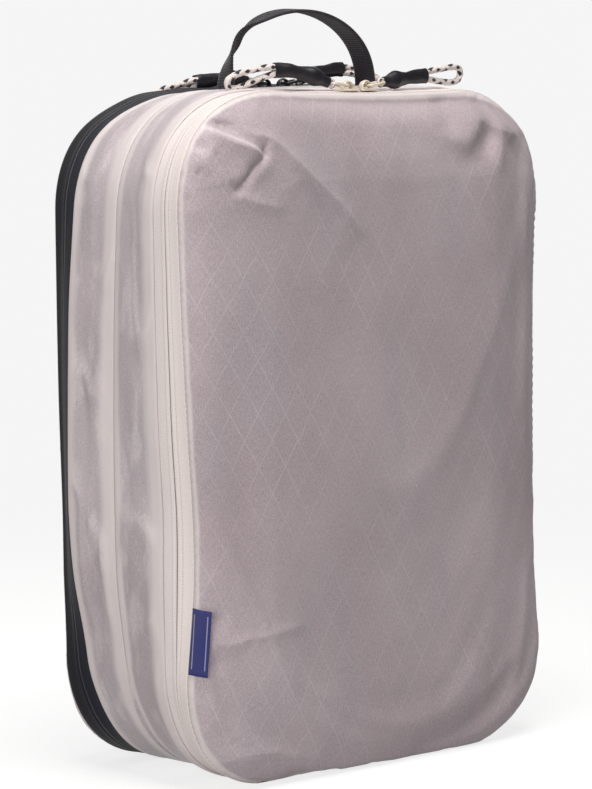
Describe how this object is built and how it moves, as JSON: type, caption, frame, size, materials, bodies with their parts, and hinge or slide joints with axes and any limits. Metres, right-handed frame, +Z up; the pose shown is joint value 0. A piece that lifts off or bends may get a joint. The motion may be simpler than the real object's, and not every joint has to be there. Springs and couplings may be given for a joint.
{
  "type": "packing cube",
  "caption": "Soft two-sided packing cube: zipped lid front and rear on hinged bottom edges, divider between, webbing grab handle on top and corded zip pulls.",
  "frame": {"origin": "middle of the footprint, on the ground, with the cube standing on its hinge edge", "axes": "+Z up to the grab handle; -Y out of the front lid with the light zip; +Y out of the rear lid with the dark zip; +X to the right when looking at the front lid"},
  "size_m": [0.256, 0.136, 0.402],
  "materials": {
    "panel_fabric": "translucent ripstop laminate with fine speckle and pale diamond grid",
    "gusset_fabric": "translucent ripstop laminate",
    "seam_tape": "folded seam allowance, matt",
    "zip_light": "off-white woven tape and coil, matt",
    "zip_dark": "black woven tape and coil, matt",
    "webbing_black": "ribbed black webbing, matt",
    "label_navy": "woven navy satin label, plain",
    "cord_light": "braided off-white cord with dark flecks",
    "sleeve_black": "heat-shrunk tube, satin",
    "slider_light": "cream enamel, satin",
    "slider_dark": "black enamel, satin"
  },
  "bodies": {
    "bag_body": {"front_gusset": "gusset_fabric", "rear_gusset": "gusset_fabric", "divider_panel": "gusset_fabric", "middle_seam_allowance": "seam_tape", "front_hinge_band": "gusset_fabric", "rear_hinge_band": "gusset_fabric", "front_zip_body_tape": "zip_light", "front_zip_body_coil": "zip_light", "rear_zip_body_tape": "zip_dark", "rear_zip_body_coil": "zip_dark"},
    "front_lid": {"front_panel": "panel_fabric", "front_zip_lid_tape": "zip_light", "front_zip_lid_coil": "zip_light", "front_seam_binding": "seam_tape", "side_label": "label_navy"},
    "rear_lid": {"rear_panel": "panel_fabric", "rear_zip_lid_tape": "zip_dark", "rear_zip_lid_coil": "zip_dark", "rear_seam_binding": "seam_tape"},
    "handle": {"grab_handle": "webbing_black"},
    "front_left_slider_body": {"front_left_slider": "slider_light"},
    "front_left_pull": {"front_left_pull_link": "slider_light", "front_left_pull_cord": "cord_light", "front_left_pull_sleeve": "sleeve_black"},
    "front_right_slider_body": {"front_right_slider": "slider_light"},
    "front_right_pull": {"front_right_pull_link": "slider_light", "front_right_pull_cord": "cord_light", "front_right_pull_sleeve": "sleeve_black"},
    "rear_left_slider_body": {"rear_left_slider": "slider_dark"},
    "rear_left_pull": {"rear_left_pull_link": "slider_dark", "rear_left_pull_cord": "cord_light", "rear_left_pull_sleeve": "sleeve_black"},
    "rear_right_slider_body": {"rear_right_slider": "slider_dark"},
    "rear_right_pull": {"rear_right_pull_link": "slider_dark", "rear_right_pull_cord": "cord_light", "rear_right_pull_sleeve": "sleeve_black"}
  },
  "joints": [
    {"name": "front_lid_hinge", "type": "hinge", "parent": "bag_body", "child": "front_lid", "pos_m": [0, -0.05, 0], "axis": [1, 0, 0], "range_deg": [0, 90]},
    {"name": "rear_lid_hinge", "type": "hinge", "parent": "bag_body", "child": "rear_lid", "pos_m": [0, 0.05, 0], "axis": [-1, 0, 0], "range_deg": [0, 90]},
    {"name": "handle_flop", "type": "hinge", "parent": "bag_body", "child": "handle", "pos_m": [0, 0, 0.368], "axis": [1, 0, 0], "range_deg": [-45, 45], "stiffness_Nm_per_rad": 0.02},
    {"name": "front_left_slider_run", "type": "slide", "parent": "bag_body", "child": "front_left_slider_body", "axis": [1, 0, 0], "range_m": [-0.052, 0]},
    {"name": "front_left_pull_turn", "type": "hinge", "parent": "front_left_slider_body", "child": "front_left_pull", "pos_m": [-0.0082, -0.041, 0.3616], "axis": [0, 1, 0], "range_deg": [0, 135]},
    {"name": "front_right_slider_run", "type": "slide", "parent": "bag_body", "child": "front_right_slider_body", "axis": [1, 0, 0], "range_m": [0, 0.052]},
    {"name": "front_right_pull_turn", "type": "hinge", "parent": "front_right_slider_body", "child": "front_right_pull", "pos_m": [0.0082, -0.041, 0.3616], "axis": [0, 1, 0], "range_deg": [-135, 0]},
    {"name": "rear_left_slider_run", "type": "slide", "parent": "bag_body", "child": "rear_left_slider_body", "axis": [1, 0, 0], "range_m": [-0.07, 0]},
    {"name": "rear_left_pull_turn", "type": "hinge", "parent": "rear_left_slider_body", "child": "rear_left_pull", "pos_m": [0.0098, 0.041, 0.3616], "axis": [0, 1, 0], "range_deg": [0, 135]},
    {"name": "rear_right_slider_run", "type": "slide", "parent": "bag_body", "child": "rear_right_slider_body", "axis": [1, 0, 0], "range_m": [0, 0.034]},
    {"name": "rear_right_pull_turn", "type": "hinge", "parent": "rear_right_slider_body", "child": "rear_right_pull", "pos_m": [0.0262, 0.041, 0.3616], "axis": [0, 1, 0], "range_deg": [-135, 0]}
  ]
}
